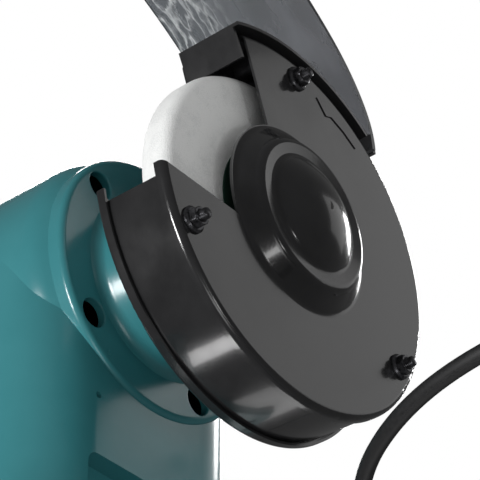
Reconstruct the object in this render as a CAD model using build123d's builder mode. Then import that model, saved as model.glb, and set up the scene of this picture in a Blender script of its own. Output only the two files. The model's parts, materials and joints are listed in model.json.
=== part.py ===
"""Double-ended bench grinder, 150 mm wheels, as separate named sub-parts.

Row frame: +X along the shaft to the right-hand wheel, -Y to the operator, +Z up, floor at Z = 0.
Lengths are in millimetres.
"""

from build123d import *
from math import cos, pi, radians, sin, tan
import os

# ---------------------------------------------------------------- driving dimensions
SHAFT_Z = 150.0            # shaft axis above the floor
WHEEL_R = 75.0             # nominal 150 mm wheel
WHEEL_T = 16.0             # wheel width
WHEEL_CORNER = 5.0         # rounding of the worn rim corners
WHEEL_IN = 146.6           # inner face of the wheel, from the machine's middle
ARBOR_R = 6.35             # 12.7 mm arbor
SHEET = 1.2                # guard sheet thickness

BARREL_R = 68.0            # motor barrel
BARREL_FLAT = 73.0         # half length of the straight barrel
BARREL_END = 85.0          # half length to the end bell seam
BARREL_BORE = 62.0         # radius of the bore that takes the stator and the end bells
BELL_R = 64.0              # end bell radius
BELL_FACE = 93.0           # half length to the vented face
NECK_R0 = 44.0             # neck radius at the vented face
NECK_R1 = 36.0             # neck radius at the guard
VENT_R = 6.8               # vent holes and the radius they lie on
VENT_PCR = 53.6
VENT_ANGLES = (50.0, 130.0, 211.0, 310.0)   # degrees from straight up toward the operator
TIE_PCR = 53.0             # two through bolts, above and below the shaft
TIE_R = 2.0                # M4 through bolts
CLEAR_4 = 2.05             # clearance hole radius for 4 mm screws
STATOR_X = 24.0            # half length of the stator and rotor packs
STATOR_BORE = 32.5
ROTOR_R = 32.0
SHAFT_R = 10.0             # shaft radius through the rotor
BEARING_X0 = 118.0         # bearing faces, 15 x 35 x 11 bearings
BEARING_X1 = 129.0
BEARING_BORE = 7.5
BEARING_R = 17.5

PED_X = 91.0               # pedestal half length
PED_Y = 67.8               # pedestal half depth
PED_CORNER = 34.0          # vertical corner radius
PED_TOP = 150.0            # height at which the pedestal ends inside the barrel
PED_WALL = 4.0             # front and back walls
PED_END_WALL = 14.0        # end walls, thick enough for the pockets
PED_CAVITY = 62.0          # height of the hollow above the flange
FLANGE_X = 104.0           # foot flange half length, half depth and heights
FLANGE_Y = 80.0
FLANGE_Z0 = 6.0
FLANGE_Z1 = 14.0
FLANGE_CORNER = 16.0
POCKET_Y = 76.0            # rounded pocket in each end of the pedestal
POCKET_Z = 38.0
POCKET_MID_Z = 31.0
POCKET_DEEP = 10.0
MOUNT_X = 184.0            # mounting hole spacings
MOUNT_Y = 132.0
MOUNT_R = 4.25
PLATE_SCREW_X = 164.0      # spacings of the bottom plate's screws
PLATE_SCREW_Y = 84.0
PLATE_T = 1.5
SWITCH_Z = 52.0            # rocker switch on the front wall
CAP_Y = 22.0               # run capacitor lying in the pedestal
CAP_Z = 34.0
CAP_R = 16.0

GUARD_BACK = 136.7         # inboard face of the guard's back sheet
GUARD_FACE = 173.0         # outboard face of the cover
COVER_R = 90.7             # outside of the cover, and of the back sheet
BACK_R = 91.4
BAND_R = 89.3              # outside of the guard band
STEP_R0 = 42.3             # raised ring on the cover, at its base and its top
STEP_R1 = 35.9
STEP_H = 8.3
DOME_R = 27.0              # domed middle: radius at its foot, and its furthest point
DOME_X = 190.3
BOLT_PCR = 80.4            # three long bolts that clamp the cover to the back
BOLT_ANGLES = (0.0, 120.0, 240.0)
STUD_R = 2.5               # M5 studs with flange nuts
GUARD_SCREW_PCR = 26.0     # screws that hold the guard to the neck
MOUTH_LOW = 106.0          # mouth edges, degrees from straight up toward the operator
MOUTH_HIGH = 26.0

SPARK_R0 = 79.0            # spark guard: panel edge nearest the wheel, and the strip's radii
SPARK_R1 = 93.4
SPARK_R2 = 95.0
SPARK_PANEL = 27.6         # panel angle
SPARK_TAIL = -33.0         # angle at which the strip ends
SPARK_SCREW = -14.0        # angle of the clamping screw
SPARK_SCREW_X = 154.0
SPARK_TRAVEL = 12.0        # adjustment, degrees

PIVOT_Y = 73.0             # eye shield pivot
PIVOT_Z = SHAFT_Z + 79.0
PIVOT_R = 3.0
SHIELD_T = 2.4             # shield sheet thickness and its two ends along the shaft
SHIELD_X0 = 99.0
SHIELD_X1 = 172.5
SHIELD_LINE = [            # middle of the sheet seen along the shaft: Y, and Z above the shaft
    (59.6, 77.0),
    (57.6, 88.0),
    (49.5, 103.6),
    (37.0, 118.2),
    (18.5, 133.0),
    (-4.0, 147.4),
    (-36.0, 163.5),
    (-72.0, 178.0),
]
BRACKET_T = 3.0
BRACKET_SCREWS = ((53.5, 57.0), (62.0, 49.0))
BRACKET_OUTLINE = [
    (45, 58),
    (62, 40),
    (69, 48),
    (80, 72),
    (80, 84),
    (74, 87),
    (67.5, 84),
    (66.2, 72),
    (60, 62),
    (54, 65),
]

CORD_R = 3.3
GLAND_X = 40.0             # strain relief in the back wall
GLAND_Z = 24.0
GLAND_END = 94.0
CORD_ROUTE = [
    (40.0, 94.0, 24.0),
    (40.6, 120.0, 20.5),
    (47.0, 149.0, 9.5),
    (68.0, 171.0, 4.2),
    (98.0, 177.0, 3.3),
    (129.0, 164.0, 3.3),
    (151.0, 131.0, 3.3),
    (162.0, 82.0, 3.3),
    (178.0, 34.0, 3.3),
    (207.0, -12.0, 3.3),
    (250.0, -43.0, 3.3),
    (297.0, -57.0, 3.3),
    (338.0, -50.0, 3.3),
]
COIL_X = 342.0             # stored coil: centre, inner and outer radius, lowest and highest point
COIL_Y = -12.0
COIL_R0 = 28.0
COIL_R1 = 48.0
COIL_Z0 = 1.0
COIL_Z1 = 14.2

SIDES = (("right", 1.0), ("left", -1.0))

os.makedirs("parts", exist_ok=True)


def save(part, name):
    """Label a sub-part with its node name and write its STEP file."""
    part.label = name
    export_step(part, "parts/" + name + ".step")
    print(name, round(part.volume / 1000.0, 2), "cm3,", len(part.solids()), "solid(s)")


def side_part(part, sign):
    """A right-hand sub-part as it is, or mirrored for the left-hand end."""
    return part if sign > 0 else mirror(part, about=Plane.YZ)


def both(part):
    """A sub-part and its mirror image as one node."""
    return Compound(children=[part, mirror(part, about=Plane.YZ)])


def axis_plane(x):
    """Plane square to the shaft at x, its local X toward the operator's back and local Y up."""
    return Plane(origin=(x, 0, SHAFT_Z), x_dir=(0, 1, 0), z_dir=(1, 0, 0))


def profile_plane():
    """Plane through the shaft axis, local X along the shaft and local Y up."""
    return Plane(origin=(0, 0, SHAFT_Z), x_dir=(1, 0, 0), z_dir=(0, -1, 0))


SHAFT_AXIS = Axis((0, 0, SHAFT_Z), (1, 0, 0))


def polar(radius, angle):
    """Point on the axis plane at an angle from straight up, positive toward the operator."""
    return (-radius * sin(radians(angle)), radius * cos(radians(angle)))


def radial(angle):
    """Unit vector away from the shaft at an angle from straight up."""
    y, z = polar(1, angle)
    return Vector(0, y, z)


def turned(points):
    """Solid turned about the shaft axis from a closed outline of (x, radius) points."""
    with BuildPart() as body:
        with BuildSketch(profile_plane()):
            with BuildLine():
                Polyline(*points, close=True)
            make_face()
        revolve(axis=SHAFT_AXIS)
    return body.part


def ring(x0, x1, r0, r1):
    """Plain ring about the shaft axis."""
    return turned([(x0, r0), (x1, r0), (x1, r1), (x0, r1)])


def sector(x0, x1, radius, angle0, angle1):
    """Pie-shaped block about the shaft axis between two angles from straight up."""
    count = 9
    arc = [polar(radius, angle0 + (angle1 - angle0) * i / (count - 1)) for i in range(count)]
    with BuildPart() as body:
        with BuildSketch(axis_plane(x0)):
            with BuildLine():
                Polyline((0, 0), *arc, close=True)
            make_face()
        extrude(amount=x1 - x0)
    return body.part


# ---------------------------------------------------------------- housing and motor
def housing():
    """Cast housing: motor barrel blended into a hollow pedestal with a foot flange."""
    shoulder_mid = (79.32, 66.97)
    with BuildPart() as body:
        with BuildSketch(profile_plane()):
            with BuildLine():
                Line((-BARREL_FLAT, BARREL_R), (BARREL_FLAT, BARREL_R))
                ThreePointArc((BARREL_FLAT, BARREL_R), shoulder_mid, (BARREL_END, BELL_R))
                Line((BARREL_END, BELL_R), (BARREL_END, 0))
                Line((BARREL_END, 0), (-BARREL_END, 0))
                Line((-BARREL_END, 0), (-BARREL_END, BELL_R))
                ThreePointArc((-BARREL_END, BELL_R), (-shoulder_mid[0], shoulder_mid[1]),
                              (-BARREL_FLAT, BARREL_R))
            make_face()
        revolve(axis=SHAFT_AXIS)
        with BuildSketch(Plane.XY.offset(FLANGE_Z0)):
            RectangleRounded(2 * PED_X, 2 * PED_Y, PED_CORNER)
        extrude(amount=PED_TOP - FLANGE_Z0)
        with BuildSketch(Plane.XY.offset(FLANGE_Z0)):
            RectangleRounded(2 * FLANGE_X, 2 * FLANGE_Y, FLANGE_CORNER)
        extrude(amount=FLANGE_Z1 - FLANGE_Z0)
        # motor bore and end bell seats
        with BuildSketch(axis_plane(-PED_X - 5)):
            Circle(BARREL_BORE)
        extrude(amount=2 * PED_X + 10, mode=Mode.SUBTRACT)
        for side in (-1, 1):
            with BuildSketch(axis_plane(side * BARREL_END)):
                Circle(BELL_R)
            extrude(amount=side * 20, mode=Mode.SUBTRACT)
        # pedestal cavity, open below
        with BuildSketch(Plane.XY.offset(FLANGE_Z0)):
            RectangleRounded(2 * (PED_X - PED_END_WALL), 100, 12)
        extrude(amount=FLANGE_Z1 - FLANGE_Z0, mode=Mode.SUBTRACT)
        with BuildSketch(Plane.XY.offset(FLANGE_Z1)):
            RectangleRounded(2 * (PED_X - PED_END_WALL), 2 * (PED_Y - PED_WALL), 20)
        extrude(amount=PED_CAVITY, mode=Mode.SUBTRACT)
        # rounded pocket in each end of the pedestal
        for side in (-1, 1):
            end_face = Plane(origin=(side * PED_X, 0, POCKET_MID_Z), x_dir=(0, 1, 0), z_dir=(side, 0, 0))
            with BuildSketch(end_face):
                RectangleRounded(POCKET_Y, POCKET_Z, 5)
            extrude(amount=-POCKET_DEEP, mode=Mode.SUBTRACT)
        # mounting holes
        with Locations((0, 0, FLANGE_Z0)):
            with GridLocations(MOUNT_X, MOUNT_Y, 2, 2):
                Cylinder(MOUNT_R, 30, mode=Mode.SUBTRACT)
        # switch aperture in the front, cord hole in the back, wire way up to the motor
        with Locations((0, -PED_Y, SWITCH_Z)):
            Box(27, 20, 21, mode=Mode.SUBTRACT)
        with Locations((GLAND_X, PED_Y, GLAND_Z)):
            Cylinder(7, 20, rotation=(90, 0, 0), mode=Mode.SUBTRACT)
        with Locations((0, 0, 82)):
            Cylinder(8, 30, mode=Mode.SUBTRACT)
        # four screw holes for the bottom plate
        with Locations((0, 0, FLANGE_Z0)):
            with GridLocations(PLATE_SCREW_X, PLATE_SCREW_Y, 2, 2):
                Cylinder(1.6, 24, mode=Mode.SUBTRACT)
        # small blind hole in each end face
        for side in (-1, 1):
            with Locations((side * PED_X, -34, SHAFT_Z - 72)):
                Cylinder(1.5, 12, rotation=(0, 90, 0), mode=Mode.SUBTRACT)
    return body.part


def end_bell(bolted_through):
    """End bell: vented face, bearing seat, neck for the guard, and bosses for the through bolts."""
    outline = [
        (70, 60), (89, 60), (89, 40), (111, 34), (114, 34), (114, BEARING_R), (131.2, BEARING_R),
        (131.2, 12), (GUARD_BACK, 12), (GUARD_BACK, NECK_R1),
    ]
    with BuildPart() as body:
        with BuildSketch(profile_plane()):
            with BuildLine():
                Polyline(*outline, (99, NECK_R0 - 2.0))
                ThreePointArc((99, NECK_R0 - 2.0), (94.9, NECK_R0 - 0.5), (BELL_FACE, NECK_R0 + 1.6))
                Line((BELL_FACE, NECK_R0 + 1.6), (BELL_FACE, BELL_R - 3))
                ThreePointArc((BELL_FACE, BELL_R - 3), (BELL_FACE - 0.88, BELL_R - 0.88),
                              (BELL_FACE - 3, BELL_R))
                Polyline((BELL_FACE - 3, BELL_R), (BARREL_END, BELL_R), (BARREL_END, BARREL_BORE),
                         (70, BARREL_BORE), (70, 60))
            make_face()
        revolve(axis=SHAFT_AXIS)
        with BuildSketch(axis_plane(79)):
            with PolarLocations(TIE_PCR, 2, start_angle=90):
                Circle(5.5)
        extrude(amount=11)
        with BuildSketch(axis_plane(80)):
            with Locations(*[polar(VENT_PCR, angle) for angle in VENT_ANGLES]):
                Circle(VENT_R)
        extrude(amount=30, mode=Mode.SUBTRACT)
        rims = body.edges().filter_by(GeomType.CIRCLE)
        rims = rims.filter_by(lambda e: abs(e.radius - VENT_R) < 0.01 and e.center().X > BELL_FACE - 0.1)
        fillet(rims, radius=0.8)
        # three threaded holes for the guard screws
        with BuildSketch(axis_plane(GUARD_BACK)):
            with PolarLocations(GUARD_SCREW_PCR, 3, start_angle=90):
                Circle(2)
        extrude(amount=-14, mode=Mode.SUBTRACT)
        # bolt holes: clear through under the heads, blind at the threaded end
        with BuildSketch(axis_plane(78)):
            with PolarLocations(TIE_PCR, 2, start_angle=90):
                Circle(CLEAR_4)
        extrude(amount=20 if bolted_through else 10.5, mode=Mode.SUBTRACT)
    return body.part


def through_bolts():
    """Two long bolts, headed at the left, that pull both end bells onto the housing."""
    with BuildPart() as body:
        with BuildSketch(axis_plane(-BELL_FACE)):
            with PolarLocations(TIE_PCR, 2, start_angle=90):
                Circle(TIE_R)
        extrude(amount=BELL_FACE + 88)
        with BuildSketch(axis_plane(-BELL_FACE)):
            with PolarLocations(TIE_PCR, 2, start_angle=90):
                RegularPolygon(4, 6)
        extrude(amount=-3)
    return body.part


def stator_core():
    """Laminated stator ring with slots that open to the rotor."""
    with BuildPart() as body:
        with BuildSketch(axis_plane(-STATOR_X)):
            Circle(BARREL_BORE)
            Circle(STATOR_BORE, mode=Mode.SUBTRACT)
            with PolarLocations(40, 24):
                Rectangle(12, 4, mode=Mode.SUBTRACT)
            with PolarLocations(33, 24):
                Rectangle(4, 2, mode=Mode.SUBTRACT)
            with PolarLocations(TIE_PCR, 2, start_angle=90):
                Circle(CLEAR_4, mode=Mode.SUBTRACT)
        extrude(amount=2 * STATOR_X)
    return body.part


def stator_windings():
    """Two end turns of the stator winding, one bundle on each side of the core."""
    return both(turned([(STATOR_X, 37), (STATOR_X, 48), (28, 50), (40, 50), (44, 47), (44, 40), (41, 37)]))


def bearing_rings():
    """Outer rings, inner rings and balls of the two 15 x 35 x 11 bearings."""
    middle = (BEARING_X0 + BEARING_X1) / 2
    outer = turned([
        (BEARING_X0, BEARING_R), (BEARING_X1, BEARING_R), (BEARING_X1, 15), (middle + 2.3, 15),
        (middle + 1.7, 15.6), (middle, 16.2), (middle - 1.7, 15.6), (middle - 2.3, 15), (BEARING_X0, 15),
    ])
    inner = turned([
        (BEARING_X0, BEARING_BORE), (BEARING_X1, BEARING_BORE), (BEARING_X1, 10), (middle + 2.3, 10),
        (middle + 1.7, 9.6), (middle, 9.1), (middle - 1.7, 9.6), (middle - 2.3, 10), (BEARING_X0, 10),
    ])
    with BuildPart() as balls:
        with Locations(axis_plane(middle)):
            with PolarLocations(12.6, 8):
                Sphere(2.6)
        with BuildSketch(axis_plane(middle - 1)):
            Circle(13.4)
            Circle(11.8, mode=Mode.SUBTRACT)
        extrude(amount=2)
    return outer, inner, balls.part


def wave_washer():
    """Preload washer behind the left bearing."""
    return ring(-BEARING_X0 + 0.1, -BEARING_X0 + 1.0, 12.5, 17.2)


# ---------------------------------------------------------------- base fittings
def rubber_feet():
    """Four bored rubber feet under the mounting holes."""
    with BuildPart() as body:
        with GridLocations(MOUNT_X, MOUNT_Y, 2, 2):
            Cylinder(10, FLANGE_Z0, align=(Align.CENTER, Align.CENTER, Align.MIN))
            Cylinder(MOUNT_R, FLANGE_Z0, align=(Align.CENTER, Align.CENTER, Align.MIN), mode=Mode.SUBTRACT)
    return body.part


def bottom_plate():
    """Sheet that closes the pedestal from below."""
    with BuildPart() as body:
        with BuildSketch(Plane.XY.offset(FLANGE_Z0 - PLATE_T)):
            RectangleRounded(176, 108, 12)
            with GridLocations(PLATE_SCREW_X, PLATE_SCREW_Y, 2, 2):
                Circle(1.9, mode=Mode.SUBTRACT)
        extrude(amount=PLATE_T)
    return body.part


def bottom_screws():
    """Four pan-head screws through the bottom plate."""
    head = 2.0
    with BuildPart() as body:
        with Locations((0, 0, FLANGE_Z0 - PLATE_T - head)):
            with GridLocations(PLATE_SCREW_X, PLATE_SCREW_Y, 2, 2):
                Cylinder(3.4, head, align=(Align.CENTER, Align.CENTER, Align.MIN))
                Cylinder(1.6, 12, align=(Align.CENTER, Align.CENTER, Align.MIN))
    return body.part


def switch_bezel():
    """Frame of the rocker switch on the pedestal's front."""
    front = Plane(origin=(0, -PED_Y, SWITCH_Z), x_dir=(1, 0, 0), z_dir=(0, -1, 0))
    with BuildPart() as body:
        with BuildSketch(front):
            RectangleRounded(34, 28, 3)
            Rectangle(23, 17, mode=Mode.SUBTRACT)
        extrude(amount=2.5)
        with BuildSketch(front):
            Rectangle(26.6, 20.6)
            Rectangle(23, 17, mode=Mode.SUBTRACT)
        extrude(amount=-10)
    return body.part


def switch_body():
    """Contact block behind the rocker, with its two terminals."""
    with BuildPart() as body:
        with Locations((0, -PED_Y + 10, SWITCH_Z)):
            Box(26.6, 16, 20.6, align=(Align.CENTER, Align.MIN, Align.CENTER))
        with Locations((-6, -PED_Y + 26, SWITCH_Z), (6, -PED_Y + 26, SWITCH_Z)):
            Box(1, 8, 5, align=(Align.CENTER, Align.MIN, Align.CENTER))
    return body.part


def switch_rocker():
    """Rocker paddle, resting in its off position with the lower half pressed in."""
    with BuildPart() as body:
        with BuildSketch(Plane.YZ.offset(-11)):
            with BuildLine():
                Polyline((5.0, -7.6), (-1.8, -7.6), (-0.4, 0), (-1.8, 7.6), (5.0, 7.6), close=True)
            make_face()
        extrude(amount=22)
    tilted = Rotation(-9, 0, 0) * body.part
    return Pos(0, -PED_Y, SWITCH_Z) * tilted


def capacitor():
    """Run capacitor lying in the pedestal."""
    with BuildPart() as body:
        with Locations((0, CAP_Y, CAP_Z)):
            Cylinder(CAP_R, 60, rotation=(0, 90, 0))
            Cylinder(3, 72, rotation=(0, 90, 0))
    return body.part


def capacitor_clamp():
    """Strap that holds the capacitor to the bottom plate."""
    with BuildPart() as body:
        with Locations((0, CAP_Y, CAP_Z)):
            Cylinder(CAP_R + SHEET, 14, rotation=(0, 90, 0))
        with Locations((0, CAP_Y, FLANGE_Z0)):
            Box(14, 20, 12, align=(Align.CENTER, Align.CENTER, Align.MIN))
            Box(14, 46, 1.5, align=(Align.CENTER, Align.CENTER, Align.MIN))
        with Locations((0, CAP_Y, CAP_Z)):
            Cylinder(CAP_R, 20, rotation=(0, 90, 0), mode=Mode.SUBTRACT)
    return body.part


def cord_gland():
    """Tapered strain relief in the pedestal's back wall."""
    inside = PED_Y - PED_WALL
    bore = CORD_R + 0.1
    with BuildPart() as body:
        with BuildSketch(Plane(origin=(GLAND_X, 0, GLAND_Z), x_dir=(0, 1, 0), z_dir=(-1, 0, 0))):
            with BuildLine():
                Polyline((PED_Y - 10, bore), (PED_Y - 10, 9.5), (inside, 9.5), (inside, 6.9), (PED_Y, 6.9),
                         (PED_Y, 9.5), (PED_Y + 4, 9), (GLAND_END, 5.2), (GLAND_END, bore), close=True)
            make_face()
        revolve(axis=Axis((GLAND_X, 0, GLAND_Z), (0, 1, 0)))
    return body.part


# ---------------------------------------------------------------- cord
def cord_radii(route):
    """Corner radii of the cord's path: as large as the runs beside each corner allow."""
    points = [Vector(*p) for p in route]
    radii = []
    for before, here, after in zip(points, points[1:], points[2:]):
        turn = (here - before).get_angle(after - here)
        shorter = min((here - before).length, (after - here).length)
        radii.append(0.45 * shorter / tan(radians(turn) / 2))
    return radii


def power_cord():
    """Mains lead from the strain relief along the floor to the coil."""
    radii = cord_radii(CORD_ROUTE)
    print("cord radii", [round(r) for r in radii])
    start = Vector(*CORD_ROUTE[0])
    direction = Vector(*CORD_ROUTE[1]) - start
    with BuildPart() as body:
        with BuildLine() as path:
            FilletPolyline(*CORD_ROUTE, radius=radii)
        with BuildSketch(Plane(origin=start, z_dir=direction)):
            Circle(CORD_R)
        sweep(path=path.wires()[0])
    run = path.wires()[0].length
    print("cord length", round(run), "volume ratio", round(body.part.volume / (pi * CORD_R ** 2 * run), 4))
    return body.part


def cord_coil():
    """The stored length of the lead as one round coil."""
    with BuildPart() as body:
        with BuildSketch(Plane(origin=(COIL_X, COIL_Y, 0), x_dir=(1, 0, 0), z_dir=(0, -1, 0))):
            with Locations(((COIL_R0 + COIL_R1) / 2, (COIL_Z0 + COIL_Z1) / 2)):
                RectangleRounded(COIL_R1 - COIL_R0, COIL_Z1 - COIL_Z0, 3.2)
        revolve(axis=Axis((COIL_X, COIL_Y, 0), (0, 0, 1)))
    return body.part


def coil_tie():
    """Strap round one side of the coil."""
    mid = (COIL_R0 + COIL_R1) / 2
    width = COIL_R1 - COIL_R0
    height = COIL_Z1 - COIL_Z0
    with BuildPart() as body:
        with BuildSketch(Plane(origin=(COIL_X - 4, COIL_Y + mid, (COIL_Z0 + COIL_Z1) / 2), x_dir=(0, 1, 0),
                               z_dir=(1, 0, 0))):
            RectangleRounded(width + 3.2, height + 1.8, 3.6)
            RectangleRounded(width + 1.2, height + 0.2, 3.0, mode=Mode.SUBTRACT)
        extrude(amount=8)
    return body.part


def cord_plug():
    """Moulded plug lying beside the coil."""
    x0 = COIL_X + COIL_R1
    with BuildPart() as body:
        with BuildSketch(Plane.YZ.offset(x0 + 14)):
            with Locations((COIL_Y, 13)):
                RectangleRounded(30, 25, 8)
        extrude(amount=24)
        fillet(body.edges().filter_by_position(Axis.X, x0 + 13.9, x0 + 14.1), radius=2.5)
        with BuildSketch(Plane.YZ.offset(x0 + 14)):
            with Locations((COIL_Y, 8)):
                Circle(6)
        with BuildSketch(Plane.YZ.offset(x0)):
            with Locations((COIL_Y, 8)):
                Circle(4.2)
        loft()
    return body.part


def plug_pins():
    """Three round pins of the plug."""
    x0 = COIL_X + COIL_R1 + 38
    with BuildPart() as body:
        with BuildSketch(Plane.YZ.offset(x0)):
            with Locations((COIL_Y - 7, 10), (COIL_Y + 7, 10), (COIL_Y, 18)):
                Circle(2.4)
        extrude(amount=18)
    return body.part


# ---------------------------------------------------------------- guards
def mouth_cut(x0, x1, keep_r):
    """Block that opens the guard's mouth toward the operator, outside a kept round middle."""
    with BuildPart() as body:
        with BuildSketch(axis_plane(x0)):
            with BuildLine():
                Polyline((-20.7, 40.3), (-42.5, 96), (-130, 96), (-130, -20), (0, -20), (0, 20), close=True)
            make_face()
            Circle(keep_r, mode=Mode.SUBTRACT)
        extrude(amount=x1 - x0)
    return body.part


def guard_back():
    """Dished back sheet of the guard, screwed to the end bell's neck."""
    with BuildPart() as body:
        with BuildSketch(profile_plane()):
            with BuildLine():
                Line((GUARD_BACK, 14), (GUARD_BACK, BACK_R - 2))
                ThreePointArc((GUARD_BACK, BACK_R - 2), (GUARD_BACK + 0.59, BACK_R - 0.59),
                              (GUARD_BACK + 2, BACK_R))
                Polyline((GUARD_BACK + 2, BACK_R), (GUARD_BACK + 5, BACK_R), (GUARD_BACK + 5, BACK_R - SHEET),
                         (GUARD_BACK + SHEET, BACK_R - SHEET), (GUARD_BACK + SHEET, 14), (GUARD_BACK, 14))
            make_face()
        revolve(axis=SHAFT_AXIS)
        with BuildSketch(axis_plane(GUARD_BACK)):
            with PolarLocations(GUARD_SCREW_PCR, 3, start_angle=90):
                Circle(2.2)
            with PolarLocations(BOLT_PCR, 3, start_angle=90):
                Circle(2.6)
            with Locations(*BRACKET_SCREWS):
                Circle(CLEAR_4)
        extrude(amount=SHEET, mode=Mode.SUBTRACT)
        add(mouth_cut(GUARD_BACK - 1, GUARD_BACK + 8, 52), mode=Mode.SUBTRACT)
    return body.part


def spark_plane(angle, radius):
    """Plane square to a radius of the wheel, under the spark guard's clamping screw."""
    out = radial(angle)
    return Plane(origin=Vector(SPARK_SCREW_X, 0, SHAFT_Z) + out * radius, z_dir=out)


def guard_band():
    """Rolled band between the back sheet and the cover, open at the mouth."""
    with BuildPart() as body:
        add(ring(GUARD_BACK + SHEET, GUARD_FACE - 3.2, BAND_R - SHEET, BAND_R))
        add(sector(GUARD_BACK, GUARD_FACE, 110, MOUTH_HIGH - 1.5, MOUTH_LOW), mode=Mode.SUBTRACT)
        with BuildSketch(spark_plane(SPARK_SCREW, 80)):
            Circle(2)
        extrude(amount=14, mode=Mode.SUBTRACT)
    return body.part


def cover_profile(grow):
    """Turned outline of the cover's outer skin, or of its inside when grow is the sheet."""
    face = GUARD_FACE - grow
    top = face + STEP_H
    dome = DOME_X - grow
    with BuildPart() as body:
        with BuildSketch(profile_plane()):
            with BuildLine():
                rim = 3.0 - grow
                outer = COVER_R - grow
                dome_r = DOME_R - grow * 0.4
                cap_r = dome_r - 1.6
                cap_h = dome - top - 0.9
                ball_r = (cap_r ** 2 + cap_h ** 2) / (2 * cap_h)
                cap_mid = dome - ball_r + (ball_r ** 2 - (cap_r / 2) ** 2) ** 0.5
                Line((GUARD_FACE - 5, 0), (GUARD_FACE - 5, outer))
                Line((GUARD_FACE - 5, outer), (face - rim, outer))
                ThreePointArc((face - rim, outer), (face - 0.293 * rim, outer - 0.293 * rim),
                              (face, outer - rim))
                Line((face, outer - rim), (face, STEP_R0 + 2.5 - grow))
                ThreePointArc((face, STEP_R0 + 2.5 - grow), (face + 0.5, STEP_R0 + 0.7 - grow),
                              (face + 1.8, STEP_R0 - 0.9 - grow))
                Line((face + 1.8, STEP_R0 - 0.9 - grow), (top - 2.4, STEP_R1 + 1.0 - grow))
                ThreePointArc((top - 2.4, STEP_R1 + 1.0 - grow), (top - 0.7, STEP_R1 - 0.5 - grow),
                              (top, STEP_R1 - 2.6 - grow))
                Line((top, STEP_R1 - 2.6 - grow), (top - 0.6, dome_r + 1.5))
                ThreePointArc((top - 0.6, dome_r + 1.5), (top - 0.2, dome_r - 0.2), (top + 0.9, cap_r))
                ThreePointArc((top + 0.9, cap_r), (cap_mid, cap_r / 2), (dome, 0))
                Line((dome, 0), (GUARD_FACE - 5, 0))
            make_face()
        revolve(axis=SHAFT_AXIS)
    return body.part


def arrow():
    """Raised rotation arrow, pointing the way the wheel's top travels."""
    tip, neck, tail = -10.5, -19.0, -33.0
    outline = [(80.5, tip), (87.0, neck + 1.5), (83.2, neck), (84.2, -26.0), (84.2, tail), (79.6, tail),
               (79.2, -26.0), (78.4, neck), (75.5, neck + 2.5)]
    with BuildPart() as body:
        with BuildSketch(axis_plane(GUARD_FACE - 0.4)):
            with BuildLine():
                Polyline(*[polar(radius, angle) for radius, angle in outline], close=True)
            make_face()
        extrude(amount=0.9)
    return body.part


def guard_cover():
    """Pressed cover: rounded rim, raised ring, domed middle, and the cut-out at the mouth."""
    pressing = cover_profile(0.0) - cover_profile(SHEET)
    pressing -= mouth_cut(GUARD_FACE - 12, GUARD_FACE + 3, STEP_R0 + 3.0)
    with BuildPart() as holes:
        with BuildSketch(axis_plane(GUARD_FACE - 3)):
            with PolarLocations(BOLT_PCR, 3, start_angle=90):
                Circle(STUD_R + 0.1)
        extrude(amount=6)
    return pressing - holes.part + arrow()


def guard_bolts():
    """Three long threaded studs from the back sheet to beyond the cover, with button heads."""
    with BuildPart() as body:
        with BuildSketch(axis_plane(GUARD_BACK)):
            with PolarLocations(BOLT_PCR, 3, start_angle=90):
                Circle(STUD_R)
        extrude(amount=GUARD_FACE + 8.5 - GUARD_BACK)
        with BuildSketch(axis_plane(GUARD_BACK)):
            with PolarLocations(BOLT_PCR, 3, start_angle=90):
                Circle(4.6)
        extrude(amount=-2.6)
    return body.part


def guard_nuts():
    """Three M5 flange nuts on the cover."""
    with BuildPart() as body:
        for angle in BOLT_ANGLES:
            y, z = polar(BOLT_PCR, angle)
            with BuildSketch(axis_plane(GUARD_FACE)):
                with Locations((y, z)):
                    Circle(6)
                    Circle(STUD_R, mode=Mode.SUBTRACT)
            extrude(amount=1.3)
            with BuildSketch(axis_plane(GUARD_FACE + 1.3)):
                with Locations((y, z)):
                    RegularPolygon(4, 6, major_radius=False, rotation=angle)
                    Circle(STUD_R, mode=Mode.SUBTRACT)
            extrude(amount=3.7)
    return body.part


def guard_screws():
    """Three screws inside each guard, through the back sheet into the neck."""
    with BuildPart() as body:
        with BuildSketch(axis_plane(GUARD_BACK + SHEET)):
            with PolarLocations(GUARD_SCREW_PCR, 3, start_angle=90):
                Circle(3.8)
        extrude(amount=1.1)
        with BuildSketch(axis_plane(GUARD_BACK + SHEET)):
            with PolarLocations(GUARD_SCREW_PCR, 3, start_angle=90):
                Circle(2)
        extrude(amount=-12)
    return both(body.part)


def spark_guard():
    """Adjustable spark guard: a strip over the guard's rim folded down into a flat panel."""
    with BuildPart() as body:
        add(ring(141, 174.6, SPARK_R1, SPARK_R2))
        add(sector(130, 180, 130, SPARK_PANEL, 180), mode=Mode.SUBTRACT)
        add(sector(130, 180, 130, SPARK_TAIL, -180), mode=Mode.SUBTRACT)
        normal = (0, -cos(radians(SPARK_PANEL)), -sin(radians(SPARK_PANEL)))
        foot = Vector(0, 0, SHAFT_Z) + radial(SPARK_PANEL) * ((SPARK_R0 + SPARK_R2) / 2)
        with BuildSketch(Plane(origin=foot, x_dir=(1, 0, 0), z_dir=normal)):
            with Locations((156.0, 0)):
                Rectangle(31.0, SPARK_R2 - SPARK_R0)
        extrude(amount=-1.5)
        slot_mid = SPARK_SCREW - SPARK_TRAVEL / 2
        for step in range(9):
            with BuildSketch(spark_plane(slot_mid - 7.0 + 14.0 * step / 8, 90)):
                Circle(2.6)
            extrude(amount=10, mode=Mode.SUBTRACT)
    return body.part


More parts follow.
